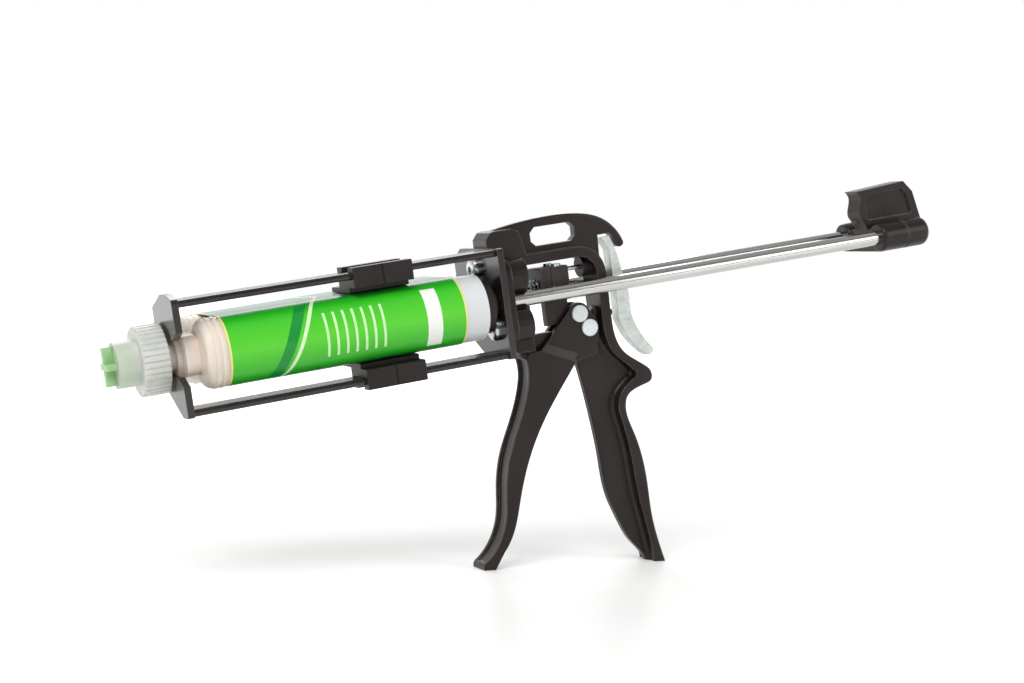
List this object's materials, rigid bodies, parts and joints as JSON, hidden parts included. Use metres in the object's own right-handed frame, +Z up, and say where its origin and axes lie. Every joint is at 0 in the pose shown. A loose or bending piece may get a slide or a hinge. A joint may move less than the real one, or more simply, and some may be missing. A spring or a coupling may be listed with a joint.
{
  "type": "caulking gun",
  "caption": "Hand dispensing gun for side-by-side two-part cartridges: loaded open carriage, cast frame, push rods with a pull-back yoke, squeeze trigger and release lever.",
  "frame": {"origin": "middle of the flat under the handle's foot, on the floor", "axes": "+X rearward, the longest extent; +Y to the far side; +Z up from the floor the gun stands on"},
  "size_m": [0.4799, 0.0708, 0.2146],
  "materials": {
    "black_casting": "satin black powder coat on a die casting",
    "black_coat": "satin black powder coat on plate",
    "black_plastic": "moulded, fine grain",
    "zinc_plate": "bright zinc plate",
    "lever_steel": "pressed sheet, bright zinc plate",
    "rod_steel": "drawn bar, bright plate",
    "bush_bronze": "sintered, oiled",
    "clear_plastic": "milky moulded plastic",
    "printed_film": "glossy printed sleeve",
    "piston_plastic": "moulded",
    "seal_rubber": "smooth",
    "nut_plastic": "milky moulded plastic",
    "plug_plastic": "pale moulded plastic"
  },
  "bodies": {
    "gun": {"main_frame": "black_casting", "front_plate": "black_coat", "rear_plate": "black_coat", "upper_bar": "black_coat", "lower_bar": "black_coat", "upper_clip": "black_plastic", "lower_clip": "black_plastic", "plate_screws": "zinc_plate", "rod_bushes": "bush_bronze", "trigger_pivot_pin": "zinc_plate", "guide_pin": "zinc_plate", "guide_bush": "black_plastic", "return_spring": "zinc_plate", "cartridge_body": "clear_plastic", "cartridge_label": "printed_film", "outlet_plug": "plug_plastic"},
    "trigger": {"trigger": "black_casting", "drive_pin": "zinc_plate", "drive_roller": "zinc_plate"},
    "drive": {"drive_block": "black_coat", "drive_pawls": "zinc_plate", "pawl_screws": "zinc_plate"},
    "push_rods": {"push_rod_near": "rod_steel", "push_rod_far": "rod_steel", "plunger_near": "black_plastic", "plunger_far": "black_plastic", "plunger_screws": "zinc_plate", "yoke": "black_casting", "yoke_screws": "zinc_plate"},
    "pistons": {"piston_near": "piston_plastic", "piston_far": "piston_plastic", "piston_seals": "seal_rubber"},
    "lever": {"release_lever": "lever_steel"},
    "nut": {"retaining_nut": "nut_plastic"}
  },
  "joints": [
    {"name": "trigger_squeeze", "type": "hinge", "parent": "gun", "child": "trigger", "pos_m": [-0.0437, 0, 0.12925], "axis": [0, -1, 0], "range_deg": [0, 22], "stiffness_Nm_per_rad": 0.5, "springref_deg": -14.32},
    {"name": "drive_slide", "type": "slide", "parent": "gun", "child": "drive", "axis": [-0.9869, 0, -0.1611], "range_m": [0, 0.00284], "deforming": ["return_spring"]},
    {"name": "rod_push", "type": "slide", "parent": "gun", "child": "push_rods", "axis": [-0.9869, 0, -0.1611], "range_m": [0, 0.128]},
    {"name": "piston_travel", "type": "slide", "parent": "gun", "child": "pistons", "axis": [-0.9869, 0, -0.1611], "range_m": [0, 0.128]},
    {"name": "lever_press", "type": "hinge", "parent": "gun", "child": "lever", "pos_m": [-0.03496, 0, 0.17688], "axis": [0, 1, 0], "range_deg": [0, 4], "stiffness_Nm_per_rad": 0.3, "springref_deg": -2.86},
    {"name": "nut_turn", "type": "hinge", "parent": "gun", "child": "nut", "pos_m": [-0.28269, 0, 0.11292], "axis": [-0.9869, 0, -0.1611], "range_deg": [0, 540]}
  ],
  "couplings": [
    {"joint": "drive_slide", "follows": "trigger_squeeze", "m_per_rad": 0.00727},
    {"joint": "piston_travel", "follows": "rod_push", "ratio": 1}
  ]
}
